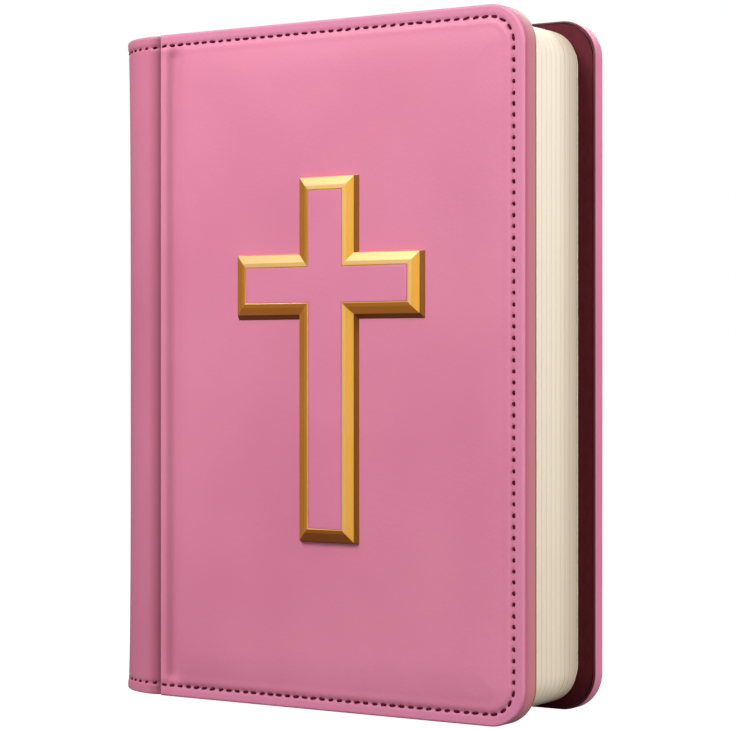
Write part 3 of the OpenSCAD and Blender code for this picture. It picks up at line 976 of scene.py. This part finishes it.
def leaf_stack(name, levels, material, z_low, z_high, left_of, columns_from):
    """A closed stack of leaves. levels holds (y, fore-edge trim, head trim, tone) from face to face."""
    vertices, faces, tones_and_painted_shades = [], [], []
    for y, fore, head, tone_and_painted_shade in levels:
        pairs = page_ring(columns_from, fore, head, z_low, z_high)
        stretch = (BEND_START - left_of(y)) / (BEND_START - columns_from)
        for (x, low), (_, high) in pairs:
            moved = BEND_START + (x - BEND_START) * stretch if x < BEND_START else x
            vertices += [(moved, y, low), (moved, y, high)]
            tones_and_painted_shades += [tone_and_painted_shade, tone_and_painted_shade]
    count = len(vertices) // len(levels)
    last = count - 2
    for level in range(len(levels) - 1):
        a, b = level * count, (level + 1) * count
        for i in range(count // 2 - 1):
            low, low_next, high, high_next = 2 * i, 2 * i + 2, 2 * i + 1, 2 * i + 3
            faces.append((a + low, a + low_next, b + low_next, b + low))
            faces.append((a + high, b + high, b + high_next, a + high_next))
        faces.append((a, b, b + 1, a + 1))
        faces.append((a + last, a + last + 1, b + last + 1, b + last))
    for first in (0, (len(levels) - 1) * count):
        for i in range(count // 2 - 1):
            low = first + 2 * i
            faces.append((low, low + 1, low + 3, low + 2))
    paint = {"edge_low": lambda x, y, z: 1 - smooth_step(z, z_low, z_low + TAIL_TINT_H)}
    piece = make_piece(name, vertices, faces, material, paint, 30.0)
    assert len(piece.data.vertices) == len(tones_and_painted_shades), "the tones need every vertex in its place"
    piece.data.attributes.new("tone_and_painted_shade", "FLOAT", "POINT").data.foreach_set("value", tones_and_painted_shades)
    return piece


def section_levels(y_low, y_high, dice):
    """The edge profile of a section: leaves with a groove between each two."""
    levels = []
    leaf = (y_high - y_low) / LEAVES
    for k in range(LEAVES):
        y = y_low + k * leaf
        out_of_true = dice.uniform(0.0, 0.025)
        head = dice.uniform(0.0, 0.06)
        through = (y - BLOCK_MID) / (2 * BLOCK_R) + 0.5
        # Painted shade: the leaves darken towards the back cover, with a small random difference from leaf
        # to leaf.
        tone_and_painted_shade = 1 - 0.85 * smooth_step(through, 0.55, 1.0) - dice.uniform(0.0, 0.06)
        for share, groove in ((0.03, 0.015), (0.3, 0.0), (0.72, 0.0), (0.97, 0.015)):
            across = abs(y + share * leaf - BLOCK_MID) / BLOCK_R
            round_off = 0.6 * across ** 3
            levels.append((y + share * leaf, out_of_true + groove + round_off, head + groove, tone_and_painted_shade))
    return levels


def rounded_back(y):
    """Where a leaf's fold lies on the block's rounded back."""
    return -SPINE_STEP - math.sqrt(max(0.0, BLOCK_R ** 2 - (y - BLOCK_MID) ** 2))


def text_block():
    """The sections. The first also stands for the bound folds, which all of them share."""
    dice = random.Random(21)
    names = sorted(n for n in frame["nodes"] if n.startswith("section_"))
    for name in names:
        low, high = box_mm(name)
        levels = section_levels(low.y, high.y, dice)
        deepest = min(rounded_back(low.y), rounded_back(high.y))
        z_low, z_high = low.z - TAIL_PROUD, high.z + HEAD_PROUD
        piece = leaf_stack(name + "_leaves", levels, PAGES, z_low, z_high, rounded_back, deepest)
        replaced = [name, "bound_folds"] if name == names[0] else [name]
        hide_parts(*replaced)
        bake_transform(piece)


text_block()


def endpaper(name, material):
    """A free endpaper."""
    low, high = box_mm(name)
    levels = [(y, 0.5, 0.3, 0.5) for y in (low.y, (low.y + high.y) / 2, high.y)]
    piece = leaf_stack(name + "_leaf", levels, material, low.z, high.z, lambda y: low.x, low.x)
    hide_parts(name)
    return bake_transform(piece)


ENDPAPER = plain_paper("endpaper_cream", srgb(228, 214, 190), srgb(246, 237, 220), 900.0)
endpaper("front_endpaper", ENDPAPER)
endpaper("back_endpaper", ENDPAPER)

# ---------------------------------------------------------------- carried-over CAD nodes


def finish_nodes():
    """Materials of the CAD pieces that are shown as they are."""
    board = plain_paper("board_grey", srgb(128, 120, 108), srgb(160, 152, 138), 700.0)
    kraft = plain_paper("kraft_brown", srgb(158, 122, 82), srgb(188, 152, 108), 800.0)
    linen = woven("linen_mull", srgb(176, 164, 138), srgb(222, 212, 190), 1400.0)
    tape = woven("cotton_tape", srgb(206, 196, 172), srgb(238, 231, 214), 2200.0)
    silk = silk_band()
    looks = {
        "front_board": (board, "board"), "back_board": (board, "board"), "spine_card": (board, "board"),
        "front_lining": (LINING, "lining"), "back_lining": (LINING, "lining"),
        "spine_lining": (LINING, "lining"), "front_foam": (FOAM, "foam"), "back_foam": (FOAM, "foam"),
        "hollow_tube": (kraft, "kraft_paper"), "mull": (linen, "linen"), "sewing_tapes": (tape, "linen"),
        "sewing_thread": (tape, "linen"), "headband": (silk, "band_silk"), "tailband": (silk, "band_silk"),
        "cross_washers": (steel(), "steel"),
    }
    for node, (material, slot) in looks.items():
        piece = frame["nodes"][node]
        piece.data.materials.clear()
        piece.data.materials.append(material)


finish_nodes()

# ---------------------------------------------------------------- studio


def floor():
    """Plain pale floor, a thin disc under the book, which looks white to the camera."""
    mesh = bpy.data.meshes.new("floor")
    sides, radius, low = 96, 3.0, -0.0006
    ring = [(radius * math.cos(2 * math.pi * i / sides), radius * math.sin(2 * math.pi * i / sides), low)
            for i in range(sides)]
    mesh.from_pydata(ring, [], [list(range(sides))])
    look = Look("floor_white", Roughness=0.9, Specular_IOR_Level=0.1)
    pale = look.mix(look.remap(look.noise(3.0), 0.3, 0.7), (0.2, 0.2, 0.2, 1), (0.22, 0.22, 0.22, 1))
    look.link("Base Color", pale)
    look.shader.inputs["Emission Color"].default_value = (1, 1, 1, 1)
    seen = look.add("ShaderNodeLightPath").outputs["Is Camera Ray"]
    look.link("Emission Strength", look.maths("MULTIPLY", seen, 1.0))
    mesh.materials.append(look.material)
    piece = bpy.data.objects.new("floor", mesh)
    bpy.context.scene.collection.objects.link(piece)


floor()


def softbox(name, place, aim, size, watts):
    """A round soft light at a place, turned to its aim."""
    light = bpy.data.lights.new(name, "AREA")
    light.shape = "DISK"
    light.size = size
    light.energy = watts
    lamp = bpy.data.objects.new(name, light)
    lamp.location = place
    lamp.rotation_mode = "QUATERNION"
    lamp.rotation_quaternion = (Vector(aim) - Vector(place)).to_track_quat("-Z", "Y")
    bpy.context.scene.collection.objects.link(lamp)


softbox("key", (-0.14, -0.48, 0.54), (0.0, 0.0, 0.09), 0.36, 4.8)
softbox("fore_edge", (0.62, -0.03, 0.3), (0.06, 0.0, 0.09), 0.2, 3.1)
softbox("front", (0.06, -0.75, 0.16), (0.0, 0.0, 0.09), 0.5, 0.65)
softbox("behind", (-0.05, 0.75, 0.4), (0.0, 0.0, 0.09), 0.5, 3.0)


def surroundings():
    """White behind the book, and a softer light from above and around for all else."""
    world = bpy.data.worlds.new("studio")
    world.use_nodes = True
    tree = world.node_tree
    tree.nodes.clear()
    output = tree.nodes.new("ShaderNodeOutputWorld")
    pick = tree.nodes.new("ShaderNodeMixShader")
    seen = tree.nodes.new("ShaderNodeLightPath").outputs["Is Camera Ray"]
    soft = tree.nodes.new("ShaderNodeBackground")
    soft.inputs["Strength"].default_value = 0.27
    place = tree.nodes.new("ShaderNodeTexCoord").outputs["Generated"]
    split = tree.nodes.new("ShaderNodeSeparateXYZ")
    ramp = tree.nodes.new("ShaderNodeValToRGB")
    ramp.color_ramp.elements[0].position = 0.0
    ramp.color_ramp.elements[0].color = (0.35, 0.34, 0.35, 1)
    ramp.color_ramp.elements[1].position = 0.8
    ramp.color_ramp.elements[1].color = (1.0, 0.99, 0.98, 1)
    white = tree.nodes.new("ShaderNodeBackground")
    white.inputs["Strength"].default_value = 1.0
    white.inputs["Color"].default_value = (1, 1, 1, 1)
    tree.links.new(place, split.inputs[0])
    tree.links.new(split.outputs["Z"], ramp.inputs[0])
    tree.links.new(ramp.outputs[0], soft.inputs["Color"])
    tree.links.new(seen, pick.inputs[0])
    tree.links.new(soft.outputs[0], pick.inputs[1])
    tree.links.new(white.outputs[0], pick.inputs[2])
    tree.links.new(pick.outputs[0], output.inputs[0])
    bpy.context.scene.world = world


surroundings()


def camera():
    """A level camera at the photograph's viewing angle."""
    data = bpy.data.cameras.new("camera")
    data.lens = LENS
    data.sensor_width = 36.0
    data.clip_start = 0.01
    data.clip_end = 20.0
    piece = bpy.data.objects.new("camera", data)
    back = Vector((math.sin(VIEW_AZIMUTH), -math.cos(VIEW_AZIMUTH), 0))
    piece.location = Vector(to_frame(*VIEW_AIM)) + back * VIEW_DISTANCE * MM
    piece.rotation_mode = "QUATERNION"
    piece.rotation_quaternion = (-back).to_track_quat("-Z", "Y")
    bpy.context.scene.collection.objects.link(piece)
    bpy.context.scene.camera = piece


camera()
bpy.context.scene.view_settings.view_transform = "Standard"
